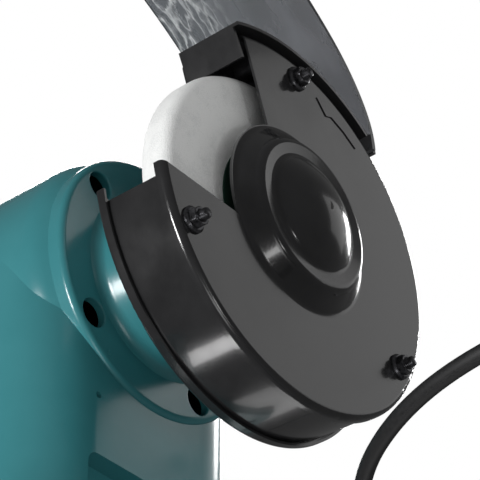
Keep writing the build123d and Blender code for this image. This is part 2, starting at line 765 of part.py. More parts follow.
def spark_screw():
    """Pan-head screw with washer that holds the spark guard to the band."""
    with BuildPart() as body:
        with BuildSketch(spark_plane(SPARK_SCREW, BAND_R - SHEET - 2)):
            Circle(2)
        extrude(amount=9.5)
        with BuildSketch(spark_plane(SPARK_SCREW, SPARK_R2 + 0.3)):
            Circle(5)
        extrude(amount=0.9)
        with BuildSketch(spark_plane(SPARK_SCREW, SPARK_R2 + 1.2)):
            Circle(3.6)
        extrude(amount=2.2)
    return body.part


def shield_bracket():
    """Bracket on the guard's back sheet that carries the eye shield's pivot."""
    with BuildPart() as body:
        with BuildSketch(axis_plane(GUARD_BACK - BRACKET_T)):
            with BuildLine():
                Polyline(*BRACKET_OUTLINE, close=True)
            make_face()
            with Locations((PIVOT_Y, PIVOT_Z - SHAFT_Z)):
                Circle(PIVOT_R, mode=Mode.SUBTRACT)
            with Locations(*BRACKET_SCREWS):
                Circle(CLEAR_4, mode=Mode.SUBTRACT)
        extrude(amount=BRACKET_T)
    return body.part


def bracket_screws():
    """Two screws that hold each shield bracket to its guard."""
    with BuildPart() as body:
        for y, z in BRACKET_SCREWS:
            with BuildSketch(axis_plane(GUARD_BACK - BRACKET_T - 2.4)):
                with Locations((y, z)):
                    Circle(3.8)
            extrude(amount=2.4)
            with BuildSketch(axis_plane(GUARD_BACK - BRACKET_T)):
                with Locations((y, z)):
                    Circle(2)
            extrude(amount=7)
    return both(body.part)


def shield_knob():
    """Lobed knob and pivot bolt of the eye shield."""
    with BuildPart() as body:
        with BuildSketch(axis_plane(110)):
            with Locations((PIVOT_Y, PIVOT_Z - SHAFT_Z)):
                Circle(6.6)
                with PolarLocations(6.6, 6):
                    Circle(2)
        extrude(amount=12)
        with BuildSketch(axis_plane(122)):
            with Locations((PIVOT_Y, PIVOT_Z - SHAFT_Z)):
                Circle(PIVOT_R)
        extrude(amount=GUARD_BACK - 122)
    return body.part


def beside(points, amount):
    """Points of an open line moved sideways by an amount, square to the line."""
    moved = []
    for i, (y, z) in enumerate(points):
        y0, z0 = points[max(i - 1, 0)]
        y1, z1 = points[min(i + 1, len(points) - 1)]
        run = ((y1 - y0) ** 2 + (z1 - z0) ** 2) ** 0.5
        moved.append((y + amount * (z1 - z0) / run, z - amount * (y1 - y0) / run))
    return moved


def eye_shield():
    """Curved smoked sheet, raised above the guard."""
    back = beside(SHIELD_LINE, SHIELD_T / 2)
    front = beside(SHIELD_LINE, -SHIELD_T / 2)
    with BuildPart() as body:
        with BuildSketch(axis_plane(SHIELD_X0)):
            with BuildLine():
                Spline(*back)
                Line(back[-1], front[-1])
                Spline(*front)
                Line(front[0], back[0])
            make_face()
        extrude(amount=SHIELD_X1 - SHIELD_X0)
    return drilled(body.part)


def shield_screw_planes():
    """Planes on the shield's lower edge, facing the operator, where its three screws go through."""
    facing = (0, -11, -2)
    middle = (SHIELD_X0 + SHIELD_X1) / 2
    return [Plane(origin=(middle + step * 27, 58.5, SHAFT_Z + 83.0), z_dir=facing) for step in (-1, 0, 1)]


def drilled(part):
    """A shield part with the three screw holes through it."""
    with BuildPart() as body:
        add(part)
        for plane in shield_screw_planes():
            with BuildSketch(plane):
                Circle(1.8)
            extrude(amount=8, both=True, mode=Mode.SUBTRACT)
    return body.part


def shield_strip():
    """Metal strip behind the shield's lower edge with the lug for the pivot bolt."""
    with BuildPart() as body:
        with BuildSketch(axis_plane(SHIELD_X0 + 2)):
            with BuildLine():
                Polyline((61.6, 77.4), (63.7, 77.7), (61.9, 87.7), (59.8, 87.3), close=True)
            make_face()
        extrude(amount=SHIELD_X1 - SHIELD_X0 - 4)
        with BuildSketch(axis_plane(127.4)):
            with Locations((PIVOT_Y, PIVOT_Z - SHAFT_Z)):
                Circle(5.6)
            with BuildLine():
                Polyline((62.4, 78), (PIVOT_Y, PIVOT_Z - SHAFT_Z - 5.6), (PIVOT_Y, PIVOT_Z - SHAFT_Z + 5.6),
                         (61.4, 87), close=True)
            make_face()
        extrude(amount=5.8)
        with BuildSketch(axis_plane(127)):
            with Locations((PIVOT_Y, PIVOT_Z - SHAFT_Z)):
                Circle(PIVOT_R + 0.06)
        extrude(amount=8, mode=Mode.SUBTRACT)
    return drilled(body.part)


def shield_screws():
    """Three pan-head screws that clamp the shield to its strip."""
    with BuildPart() as body:
        for plane in shield_screw_planes():
            with BuildSketch(plane.offset(-5.6)):
                Circle(1.8)
            extrude(amount=5.6 + SHIELD_T / 2)
            with BuildSketch(plane.offset(SHIELD_T / 2)):
                Circle(3.4)
            extrude(amount=1.8)
    return body.part


# ---------------------------------------------------------------- rotor
def shaft():
    """Stepped motor shaft with an arbor at each end."""
    wheel_out = WHEEL_IN + WHEEL_T
    right = [(0, 0), (wheel_out + 20.4, 0), (wheel_out + 20.4, ARBOR_R - 1), (wheel_out + 19.4, ARBOR_R),
             (140, ARBOR_R), (140, 8.5), (BEARING_X1 + 0.2, 8.5), (BEARING_X1 + 0.2, BEARING_BORE),
             (BEARING_X0, BEARING_BORE), (BEARING_X0, SHAFT_R), (0, SHAFT_R)]
    half = turned(right)
    return half + mirror(half, about=Plane.YZ)


def rotor_core():
    """Laminated rotor pack."""
    return ring(-STATOR_X, STATOR_X, SHAFT_R, ROTOR_R)


def rotor_end_rings():
    """Cast end rings of the cage."""
    return both(ring(STATOR_X, STATOR_X + 7, 19, ROTOR_R - 1))


def cooling_fan():
    """Radial fan on the shaft beside the left winding."""
    with BuildPart() as body:
        add(ring(-68, -64.5, SHAFT_R, 46))
        add(ring(-64.5, -54, SHAFT_R, 15))
        with BuildSketch(axis_plane(-64.5)):
            with PolarLocations(32, 9):
                Rectangle(26, 2)
        extrude(amount=9)
    return body.part


def clamp_flanges():
    """Inner and outer flanges that grip both wheels through the blotters."""
    inner = turned([
        (140, ARBOR_R), (146, ARBOR_R), (146, 10), (145, 16), (145, 19), (146, 20), (146, 24), (145, 25),
        (142, 25), (140, 12),
    ])
    outer = turned([
        (163.2, ARBOR_R), (168, ARBOR_R), (168, 12), (165.5, 25), (164, 25), (163.2, 24.2), (163.2, 20),
        (164.2, 19), (164.2, 16), (163.2, 10),
    ])
    return Compound(children=[inner, outer, mirror(inner, about=Plane.YZ), mirror(outer, about=Plane.YZ)])


def wheel():
    """Abrasive wheel with its rim corners rounded by use."""
    with BuildPart() as body:
        with BuildSketch(axis_plane(WHEEL_IN)):
            Circle(WHEEL_R)
            Circle(ARBOR_R, mode=Mode.SUBTRACT)
        extrude(amount=WHEEL_T)
        corners = body.edges().filter_by(GeomType.CIRCLE)
        corners = corners.filter_by(lambda e: abs(e.radius - WHEEL_R) < 0.01)
        fillet(corners, radius=WHEEL_CORNER)
    return body.part


def paper_blotters():
    """Paper washers between wheels and flanges."""
    inner = ring(WHEEL_IN - 0.6, WHEEL_IN, ARBOR_R, 39)
    outer = ring(WHEEL_IN + WHEEL_T, WHEEL_IN + WHEEL_T + 0.6, ARBOR_R, 39)
    return Compound(children=[inner, outer, mirror(inner, about=Plane.YZ), mirror(outer, about=Plane.YZ)])


def arbor_nuts():
    """Hexagon nuts that hold the wheels."""
    with BuildPart() as body:
        with BuildSketch(axis_plane(168)):
            RegularPolygon(9.5, 6, major_radius=False)
            Circle(ARBOR_R, mode=Mode.SUBTRACT)
        extrude(amount=10)
    return both(body.part)


# ---------------------------------------------------------------- export
outer_ring, inner_ring, ball_set = bearing_rings()
save(housing(), "housing")
save(through_bolts(), "through_bolts")
save(stator_core(), "stator_core")
save(stator_windings(), "stator_windings")
save(both(outer_ring), "bearing_outer_rings")
save(both(inner_ring), "bearing_inner_rings")
save(both(ball_set), "bearing_balls")
save(wave_washer(), "wave_washer")
save(rubber_feet(), "rubber_feet")
save(bottom_plate(), "bottom_plate")
save(bottom_screws(), "bottom_screws")
save(switch_bezel(), "switch_bezel")
save(switch_body(), "switch_body")
save(switch_rocker(), "switch_rocker")
save(capacitor(), "capacitor")
save(capacitor_clamp(), "capacitor_clamp")
save(cord_gland(), "cord_gland")
save(power_cord(), "power_cord")
save(cord_coil(), "cord_coil")
save(coil_tie(), "coil_tie")
save(cord_plug(), "cord_plug")
save(plug_pins(), "plug_pins")
save(guard_screws(), "guard_screws")
save(bracket_screws(), "bracket_screws")
save(shaft(), "shaft")
save(rotor_core(), "rotor_core")
save(rotor_end_rings(), "rotor_end_rings")
save(cooling_fan(), "cooling_fan")
save(clamp_flanges(), "clamp_flanges")
save(paper_blotters(), "paper_blotters")
save(arbor_nuts(), "arbor_nuts")

save(end_bell(False), "end_bell_right")
save(mirror(end_bell(True), about=Plane.YZ), "end_bell_left")

HANDED = (
    (guard_back, "guard_back"),
    (guard_band, "guard_band"),
    (guard_cover, "guard_cover"),
    (guard_bolts, "guard_bolts"),
    (guard_nuts, "guard_nuts"),
    (spark_guard, "spark_guard"),
    (spark_screw, "spark_screw"),
    (shield_bracket, "shield_bracket"),
    (shield_knob, "shield_knob"),
    (eye_shield, "eye_shield"),
    (shield_strip, "shield_strip"),
    (shield_screws, "shield_screws"),
    (wheel, "wheel"),
)
for make, name in HANDED:
    solid = make()
    for side, sign in SIDES:
        save(side_part(solid, sign), name + "_" + side)
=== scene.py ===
"""Looks of the double-ended bench grinder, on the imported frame.

Sizes of pieces are in millimetres in the frame's axes, and MM turns them into metres. The camera, the
lights, the floor and the patterns in the materials take metres.
"""

import json
import math

import bpy
import numpy as np
from mathutils import Matrix, Vector


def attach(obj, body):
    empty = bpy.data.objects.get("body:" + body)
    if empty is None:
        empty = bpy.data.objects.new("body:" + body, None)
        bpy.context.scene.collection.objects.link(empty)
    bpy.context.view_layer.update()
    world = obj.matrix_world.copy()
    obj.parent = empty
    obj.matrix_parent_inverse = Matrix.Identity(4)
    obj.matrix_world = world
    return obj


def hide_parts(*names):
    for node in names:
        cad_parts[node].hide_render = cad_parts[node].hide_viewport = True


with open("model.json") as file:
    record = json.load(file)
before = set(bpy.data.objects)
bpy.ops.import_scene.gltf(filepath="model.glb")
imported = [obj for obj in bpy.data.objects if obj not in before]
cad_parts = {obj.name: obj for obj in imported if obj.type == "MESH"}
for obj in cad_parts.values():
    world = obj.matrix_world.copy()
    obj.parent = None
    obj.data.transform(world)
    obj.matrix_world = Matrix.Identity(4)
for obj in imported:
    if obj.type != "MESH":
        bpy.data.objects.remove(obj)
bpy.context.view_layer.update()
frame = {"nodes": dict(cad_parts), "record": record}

MM = 0.001
SHAFT_Z = 150.0             # shaft above the floor
GUARD_BACK = 136.7          # inboard face of the guard's back sheet
GUARD_FACE = 173.0          # outboard face of the cover, under the nuts
BOLT_RADIUS = 80.4          # guard studs: circle they stand on, angles from straight up and radius
BOLT_ANGLES = (0.0, 120.0, 240.0)
STUD_R = 2.5
SPARK_SCREW_X = 154.0       # spark guard's screw: place, angle from straight up and its washer's seat
SPARK_SCREW_ANGLE = -14.0
SPARK_SCREW_R = 95.3
SHIELD_SCREW_X = 135.75     # eye shield's screws: the middle one, the spacing and the direction they face
SHIELD_SCREW_Y = 58.5
SHIELD_SCREW_Z = SHAFT_Z + 83.0
SHIELD_SPACING = 27.0
SHIELD_FACING = (0.0, -11.0, -2.0)
SHIELD_HALF_T = 1.2
BRACKET_T = 3.0             # shield bracket's thickness, and its screws as Y and height above the shaft
BRACKET_SCREWS = ((53.5, 57.0), (62.0, 49.0))
PLATE_SCREW_X = 82.0        # bottom plate's screws, and its lower face
PLATE_SCREW_Y = 42.0
PLATE_FACE_Z = 4.5
GLAND_X = 40.0              # middle of the lead's hole
GLAND_Z = 24.0
WINDING_X = 34.0            # middle of an end turn, along the shaft and out from it, and its half sizes
WINDING_R = 43.4
WINDING_HALF_X = 9.95
WINDING_HALF_R = 6.35
SIDES = (("right", 1.0), ("left", -1.0))
BODY = {piece: body for body, members in frame["record"]["behaviour"]["bodies"].items() for piece in members}


# ---------------------------------------------------------------- camera
def set_camera():
    """Long lens from the right and well below, level with no roll."""
    place = Vector((0.6158, -0.5755, -0.3984))
    looking = Vector((-0.51186, 0.61906, 0.59561))
    data = bpy.data.cameras.new("camera")
    data.sensor_width = 36.0
    data.lens = 158.3
    data.clip_start = 0.01
    data.clip_end = 50.0
    camera = bpy.data.objects.new("camera", data)
    camera.matrix_world = Matrix.Translation(place) @ looking.to_track_quat("-Z", "Y").to_matrix().to_4x4()
    bpy.context.scene.collection.objects.link(camera)
    bpy.context.scene.camera = camera


set_camera()


# ---------------------------------------------------------------- mains lead
CORD_D = 6.6 * MM
CORD_ROUTE = [
    (40.0, 94.0, 24.0), (40.6, 120.0, 20.5), (47.0, 149.0, 9.5), (68.0, 171.0, 4.2), (98.0, 175.0, 3.3),
    (129.0, 164.0, 3.3), (151.0, 131.0, 3.3), (162.0, 82.0, 3.3), (178.0, 34.0, 3.3), (207.0, -12.0, 3.3),
    (250.0, -43.0, 3.3), (297.0, -57.0, 3.3), (338.0, -50.0, 3.3),
]
COIL_X = 342.0
COIL_Y = -12.0


def coil_points():
    """Turns of the stored lead in mm, in half laps that hold their ring or ease across to the next.

    Rings of 44.65, 38 and 31.35 mm go inward on the floor, the lead climbs one diameter on the smallest
    ring, and the same rings go outward on top, so no turn crosses another. Each ease is a half cosine.
    """
    rings = (44.65, 44.65, 38.0, 38.0, 31.35, 31.35, 38.0, 38.0, 44.65, 44.65)
    heights = (4.3, 4.3, 4.3, 4.3, 4.3, 10.9, 10.9, 10.9, 10.9, 10.9)
    points = []
    per_half = 12
    count = 102                 # eight and a half half-laps, just over four turns
    for i in range(count):
        half, part = divmod(i / per_half, 1)
        half = int(half)
        ease = (1 - math.cos(math.pi * part)) / 2
        radius = rings[half] + (rings[half + 1] - rings[half]) * ease
        height = heights[half] + (heights[half + 1] - heights[half]) * ease
        angle = math.radians(-75.0 + 180.0 * i / per_half)
        points.append((COIL_X + radius * math.cos(angle), COIL_Y + radius * math.sin(angle), height))
    return points


def mains_lead():
    """Smooth round lead: the listed route, then the coil's turns, as one NURBS line."""
    points = CORD_ROUTE[:-1] + coil_points()
    curve = bpy.data.curves.new("mains_lead", "CURVE")
    curve.dimensions = "3D"
    spline = curve.splines.new("NURBS")
    spline.points.add(len(points) - 1)
    for place, (x, y, z) in zip(spline.points, points):
        place.co = (x * MM, y * MM, z * MM, 1.0)
        place.radius = CORD_D / 2
    spline.order_u = 3
    spline.use_endpoint_u = True
    spline.resolution_u = 10
    curve.bevel_depth = 1.0
    curve.bevel_resolution = 6
    curve.use_fill_caps = True
    lead = bpy.data.objects.new("mains_lead", curve)
    bpy.context.scene.collection.objects.link(lead)
    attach(lead, "machine")
    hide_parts("power_cord", "cord_coil")
    return lead


lead = mains_lead()


# ---------------------------------------------------------------- shading helpers
def linear(code):
    """Linear colour of an sRGB hex code such as "2d5a5e"."""
    values = [int(code[i:i + 2], 16) / 255 for i in (0, 2, 4)]
    return tuple(v / 12.92 if v <= 0.04045 else ((v + 0.055) / 1.055) ** 2.4 for v in values) + (1.0,)


def node(tree, kind, settings=None, inputs=None):
    """Adds one node, sets its properties and input values, and links the inputs that are sockets."""
    made = tree.nodes.new("ShaderNode" + kind)
    for key, value in (settings or {}).items():
        setattr(made, key, value)
    for key, value in (inputs or {}).items():
        if isinstance(value, bpy.types.NodeSocket):
            tree.links.new(value, made.inputs[key])
        else:
            made.inputs[key].default_value = value
    return made


def new_material(name):
    """An empty node material with its tree and object coordinates."""
    material = bpy.data.materials.new(name)
    material.use_nodes = True
    tree = material.node_tree
    tree.nodes.clear()
    place = node(tree, "TexCoord").outputs["Object"]
    return material, tree, place


def finished(material, tree, inputs):
    """Ends a material in one Principled shader."""
    shader = node(tree, "BsdfPrincipled", None, inputs)
    node(tree, "OutputMaterial", None, {"Surface": shader.outputs["BSDF"]})
    return material


def noise(tree, place, size, detail=3.0, rough=0.55):
    """Noise whose features are about the given size in metres."""
    return node(tree, "TexNoise", None, {"Vector": place, "Scale": 1.0 / size, "Detail": detail,
                                          "Roughness": rough}).outputs["Fac"]


def span(tree, value, low, high):
    """Maps the middle half of a 0 to 1 pattern onto a range."""
    return node(tree, "MapRange", None, {"Value": value, "From Min": 0.25, "From Max": 0.75,
                                          "To Min": low, "To Max": high}).outputs["Result"]


def blend(tree, value, first, second):
    """Colour between two hex codes by a pattern."""
    ramp = node(tree, "ValToRGB", None, {"Fac": value})
    ramp.color_ramp.elements[0].position = 0.3
    ramp.color_ramp.elements[1].position = 0.7
    ramp.color_ramp.elements[0].color = linear(first)
    ramp.color_ramp.elements[1].color = linear(second)
    return ramp.outputs["Color"]


def bump(tree, height, depth, strength=1.0):
    """Bump normal from a height pattern, depth in metres."""
    raised = node(tree, "Bump", None, {"Height": height, "Distance": depth, "Strength": strength})
    return raised.outputs["Normal"]


# ---------------------------------------------------------------- materials
def teal_enamel():
    """Stoved enamel on a die casting: deep blue-green, glossy, with faint orange peel."""
    material, tree, place = new_material("teal stoved enamel")
    patches = noise(tree, place, 0.03, 4.0)
    peel = noise(tree, place, 0.0016, 2.0)
    return finished(material, tree, {
        "Base Color": blend(tree, patches, "35797f", "397e84"),
        "Roughness": span(tree, patches, 0.2, 0.28), "IOR": 1.5, "Coat Weight": 0.1, "Coat Roughness": 0.08,
        "Normal": bump(tree, peel, 0.00002, 0.6)})


def black_enamel():
    """Satin black enamel on pressed sheet: soft sheen, light handling marks and a fine peel."""
    material, tree, place = new_material("satin black enamel")
    patches = noise(tree, place, 0.02, 5.0, 0.6)
    peel = noise(tree, place, 0.0011, 2.0)
    return finished(material, tree, {
        "Base Color": blend(tree, patches, "1d1d1e", "262627"),
        "Roughness": span(tree, patches, 0.14, 0.24), "IOR": 1.5, "Coat Weight": 0.4, "Coat Roughness": 0.06,
        "Normal": bump(tree, peel, 0.00003, 0.6)})


def abrasive(name, pale, dark, grit):
    """Vitrified aluminium oxide: matt grains and pores, drawn coarse enough to see."""
    material, tree, place = new_material(name)
    cells = node(tree, "TexVoronoi", {"feature": "F1"}, {"Vector": place, "Scale": 1.0 / grit})
    grains = cells.outputs["Distance"]
    clouds = noise(tree, place, 0.012, 5.0, 0.7)
    mixed = node(tree, "Math", {"operation": "MULTIPLY_ADD"}, {0: grains, 1: 0.35, 2: clouds}).outputs[0]
    return finished(material, tree, {
        "Base Color": blend(tree, mixed, pale, dark), "Roughness": 0.93, "IOR": 1.6,
        "Normal": bump(tree, grains, 0.00025, 0.7)})


def blotter_paper():
    """Dyed blotting paper: dark green, matt, with faint fibres."""
    material, tree, place = new_material("green blotting paper")
    fibres = noise(tree, place, 0.0007, 4.0, 0.7)
    return finished(material, tree, {"Base Color": blend(tree, fibres, "16382c", "1f4a3a"),
                                     "Roughness": 0.85, "Normal": bump(tree, fibres, 0.00005, 0.5)})


def steel(name, pale, dark, rough, stretch=(1.0, 1.0, 1.0), size=0.004, metallic=1.0):
    """Steel with drawn or turned marks; stretch runs the marks along an axis."""
    material, tree, place = new_material(name)
    drawn = node(tree, "Mapping", None, {"Vector": place, "Scale": stretch}).outputs["Vector"]
    marks = noise(tree, drawn, size, 4.0, 0.6)
    return finished(material, tree, {"Base Color": blend(tree, marks, dark, pale), "Metallic": metallic,
                                     "Roughness": span(tree, marks, rough - 0.06, rough + 0.08),
                                     "Normal": bump(tree, marks, 0.00002, 0.5)})


def laminations():
    """Stacked electrical sheet: grey steel with fine edges across the shaft, drawn 2 mm apart to show.

    The wave repeats every 0.314 of its scaled length.
    """
    material, tree, place = new_material("electrical sheet stack")
    stack = node(tree, "TexWave", {"wave_type": "BANDS", "bands_direction": "X"},
                 {"Vector": place, "Scale": 1000.0 / 6.283, "Distortion": 0.4}).outputs["Fac"]
    return finished(material, tree, {"Base Color": blend(tree, stack, "4c4d50", "7a7b7e"), "Metallic": 0.9,
                                     "Roughness": 0.45, "Normal": bump(tree, stack, 0.0001, 0.6)})


def winding_copper():
    """Varnished magnet wire: amber-brown copper lying in a bundle."""
    material, tree, place = new_material("varnished copper wire")
    wires = noise(tree, place, 0.0012, 2.0)
    return finished(material, tree, {"Base Color": blend(tree, wires, "5a2a10", "a8602c"), "Metallic": 0.7,
                                     "Roughness": 0.35, "Normal": bump(tree, wires, 0.0003, 0.8)})


def moulded(name, first, second, rough, grain=0.0012, depth=0.00004, coat=0.0):
    """Moulded rubber or plastic with a fine spark-eroded grain."""
    material, tree, place = new_material(name)
    texture = noise(tree, place, grain, 3.0)
    return finished(material, tree, {"Base Color": blend(tree, texture, first, second),
                                     "Roughness": span(tree, texture, rough - 0.05, rough + 0.08),
                                     "IOR": 1.5, "Coat Weight": coat,
                                     "Normal": bump(tree, texture, depth, 0.7)})


def smoked_sheet():
    """Smoked polycarbonate: a dark see-through sheet, with creased film on its inboard side whose creases
    carry painted highlights.
    """
    material, tree, place = new_material("smoked polycarbonate")
    drawn = node(tree, "Mapping", None, {"Vector": place, "Scale": (1.0, 0.3, 0.3)}).outputs["Vector"]
    waves = noise(tree, drawn, 0.012, 2.0)
    bent = node(tree, "Mapping", None, {"Vector": place, "Rotation": (0.3, 0.6, 0.2),
                                        "Scale": (1.0, 0.25, 0.3)})
    creases = noise(tree, bent.outputs["Vector"], 0.006, 3.0, 0.5)
    away = node(tree, "Math", {"operation": "SUBTRACT"}, {0: creases, 1: 0.5}).outputs[0]
    fold = node(tree, "Math", {"operation": "ABSOLUTE"}, {0: away}).outputs[0]
    lines = node(tree, "MapRange", None, {"Value": fold, "From Min": 0.0, "From Max": 0.05, "To Min": 1.0,
                                          "To Max": 0.0}).outputs["Result"]
    along = node(tree, "SeparateXYZ", None, {"Vector": place}).outputs["X"]
    inboard = node(tree, "Math", {"operation": "ABSOLUTE"}, {0: along}).outputs[0]
    reach = node(tree, "MapRange", None, {"Value": inboard, "From Min": 0.112, "From Max": 0.134,
                                          "To Min": 0.5, "To Max": 0.0}).outputs["Result"]
    # painted highlight: pale lines along the film's creases, strongest towards the inboard end
    crease_glints = node(tree, "Math", {"operation": "MULTIPLY"}, {0: lines, 1: reach}).outputs[0]
    sheet = blend(tree, waves, "3e3f41", "4a4b4e")
    colour = node(tree, "Mix", {"data_type": "RGBA"}, {0: crease_glints, 6: sheet, 7: linear("babcbc")}).outputs[2]
    return finished(material, tree, {"Base Color": colour, "Roughness": 0.14, "IOR": 1.58,
                                     "Transmission Weight": 0.3, "Normal": bump(tree, waves, 0.0002, 0.5)})


SHADES = {
    "teal_enamel": teal_enamel(),
    "black_enamel": black_enamel(),
    "zinc_steel": steel("zinc plated steel", "c4c3bd", "96958f", 0.32),
    "black_steel": steel("black oxide steel", "66666a", "2c2c2e", 0.28, size=0.002, metallic=0.85),
    "machined_steel": steel("turned steel", "b9bbbd", "83868a", 0.25, (20.0, 1.0, 1.0), 0.01),
    "bearing_steel": steel("ground bearing steel", "c9cbce", "9da0a4", 0.15, (20.0, 1.0, 1.0), 0.01),
    "lamination_steel": laminations(),
    "cast_aluminium": steel("cast aluminium", "b4b6b8", "8c8f92", 0.5),
    "enamelled_copper": winding_copper(),
    "grey_abrasive": abrasive("grey aluminium oxide", "5d5f62", "808285", 0.0009),
    "white_abrasive": abrasive("white aluminium oxide", "d3d5d5", "ecedec", 0.0006),
    "green_paper": blotter_paper(),
    "black_rubber": moulded("black rubber", "101011", "1b1b1c", 0.55),
    "black_plastic": moulded("black nylon", "121213", "1e1e20", 0.42),
    "red_plastic": moulded("red polycarbonate", "9c1512", "b31d18", 0.22, coat=0.3),
    "grey_plastic": moulded("grey polypropylene", "8b8c8c", "9d9e9e", 0.45),
    "galvanised_sheet": steel("galvanised sheet", "b3b7ba", "8d9296", 0.42, size=0.012),
    "pin_brass": steel("nickel plated brass", "cfc8b4", "a8a08a", 0.22),
    "smoked_polycarbonate": smoked_sheet(),
}


def dress_nodes():
    """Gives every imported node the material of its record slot."""
    for part in frame["record"]["subparts"]:
        thing = frame["nodes"][part["node"]]
        for place in thing.material_slots:
            place.material = SHADES[part["material_slot"]]


dress_nodes()
lead.data.materials.append(SHADES["black_rubber"])


# ---------------------------------------------------------------- computed surfaces
def surface(name, points, closed_path=False):
    """Closed skin over a grid of points in mm: rows run along the piece, columns go round it.

    Neighbouring rows are joined by quads and the last column meets the first. An open run of rows gets one
    face at each end; a closed one joins its last row to its first.
    """
    rows, columns, _ = points.shape
    index = np.arange(rows * columns).reshape(rows, columns)
    if closed_path:
        first, second = index, np.roll(index, -1, axis=0)
    else:
        first, second = index[:-1], index[1:]
    first_after = np.roll(first, -1, axis=1)
    second_after = np.roll(second, -1, axis=1)
    faces = np.stack([first, first_after, second_after, second], axis=-1).reshape(-1, 4).tolist()
    if not closed_path:
        faces += [index[0][::-1].tolist(), index[-1].tolist()]
    mesh = bpy.data.meshes.new(name)
    mesh.from_pydata((points.reshape(-1, 3) * MM).tolist(), [], faces)
    mesh.update()
    return mesh


def joined(name, meshes, slot, *nodes):
    """One object from several closed skins, riding on the body of the CAD nodes it stands in for."""
    things = []
    for number, mesh in enumerate(meshes):
        thing = bpy.data.objects.new(name + "_" + str(number), mesh)
        bpy.context.scene.collection.objects.link(thing)
        things.append(thing)
    if len(things) > 1:
        with bpy.context.temp_override(active_object=things[0], selected_editable_objects=things):
            bpy.ops.object.join()
    whole = things[0]
    whole.name = name
    whole.data.materials.append(SHADES[slot])
    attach(whole, BODY[nodes[0]])
    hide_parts(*nodes)
    return whole


def smooth(thing, limit):
    """Smooth shading on every face whose neighbours turn by less than the limit, in degrees."""
    thing.data.shade_smooth()
    thing.data.set_sharp_from_angle(angle=math.radians(limit))


def round_angles(count):
    """Evenly spaced angles round a turn."""
    return np.linspace(0, 2 * np.pi, count, endpoint=False)


def about(origin, axis, along, radius, angle):
    """Grid of points round an axis: row i lies along[i] from the origin, radius[i, j] out at angle j.

    The distances along the axis may be a whole grid too.
    """
    axis = np.array(axis, dtype=float)
    axis /= np.linalg.norm(axis)
    side = np.cross(axis, (0.0, 0.0, 1.0) if abs(axis[2]) < 0.9 else (0.0, 1.0, 0.0))
    side /= np.linalg.norm(side)
    up = np.cross(axis, side)
    along = np.broadcast_to(np.asarray(along, dtype=float).reshape(len(radius), -1), radius.shape)
    out = np.cos(angle)[None, :, None] * side + np.sin(angle)[None, :, None] * up
    return np.array(origin, dtype=float) + along[..., None] * axis + radius[..., None] * out


def bolt_place(angle):
    """Y and Z of a guard stud at an angle from straight up."""
    turn = math.radians(angle)
    return -BOLT_RADIUS * math.sin(turn), SHAFT_Z + BOLT_RADIUS * math.cos(turn)


def threaded(along, angle, radius, pitch, depth):
    """Radius of a right-hand thread: a triangle wave raised to the power 0.8, one pitch on for each turn."""
    turn = along[:, None] / pitch - angle[None, :] / (2 * np.pi)
    return radius - depth * (1 - np.abs(2 * (turn % 1) - 1)) ** 0.8


def stud(angle, sign):
    """Guard stud: round button head, plain shank and a long thread with a turned point.

    Places along the shaft run outboard from the guard's back sheet. The head's outline is a quarter ellipse.
    """
    head_radius = 4.6
    head_height = 2.6
    pitch = 0.8
    depth = 0.3
    around = round_angles(36)
    dome = np.linspace(0.12, np.pi / 2, 7)
    shank = np.array([GUARD_BACK + 0.01, 150.0, 166.0])
    thread = np.linspace(166.1, 180.9, 150)
    point = ((181.2, 2.15), (181.5, 1.7))
    body = np.full(len(shank) + len(thread), STUD_R)
    head = GUARD_BACK - head_height * np.cos(dome)
    along = np.concatenate([head, shank, thread, [step[0] for step in point]])
    plain = np.concatenate([head_radius * np.sin(dome), body, [step[1] for step in point]])
    radius = np.repeat(plain[:, None], len(around), axis=1)
    first = len(dome) + len(shank)
    radius[first:first + len(thread)] = threaded(thread, around, STUD_R, pitch, depth)
    y, z = bolt_place(angle)
    return surface("stud", about((0, y, z), (sign, 0, 0), along, radius, around))


def flange_nut(angle, sign, spin):
    """Flange nut: washer face, sloping flange, six flats under a chamfered crown, and the hole's mouth.

    Each step is a distance from the cover, a radius, and whether the flats cut that radius; 9 mm leaves the
    hexagon whole. The hexagon's radius at each angle is half its width over the cosine of the angle from the
    nearest flat.
    """
    half_width = 4.0
    around = round_angles(72)
    flats = half_width / np.cos((around + spin + np.pi / 6) % (np.pi / 3) - np.pi / 6)
    steps = [
        (0.02, 2.45, False), (0.02, 5.8, False), (0.15, 5.98, False), (0.9, 5.98, False), (1.1, 5.85, False),
        (1.75, 4.95, False), (1.8, 9.0, True), (4.2, 9.0, True), (4.45, 4.42, True), (4.8, 4.1, True),
        (5.0, 3.75, True), (5.0, 2.95, False), (4.7, 2.55, False), (3.0, 2.45, False),
    ]
    along = np.array([GUARD_FACE + step[0] for step in steps])
    limit = np.array([flats if step[2] else np.full(len(around), step[1]) for step in steps])
    radius = np.minimum(limit, np.array([step[1] for step in steps])[:, None])
    y, z = bolt_place(angle)
    return surface("nut", about((0, y, z), (sign, 0, 0), along, radius, around))


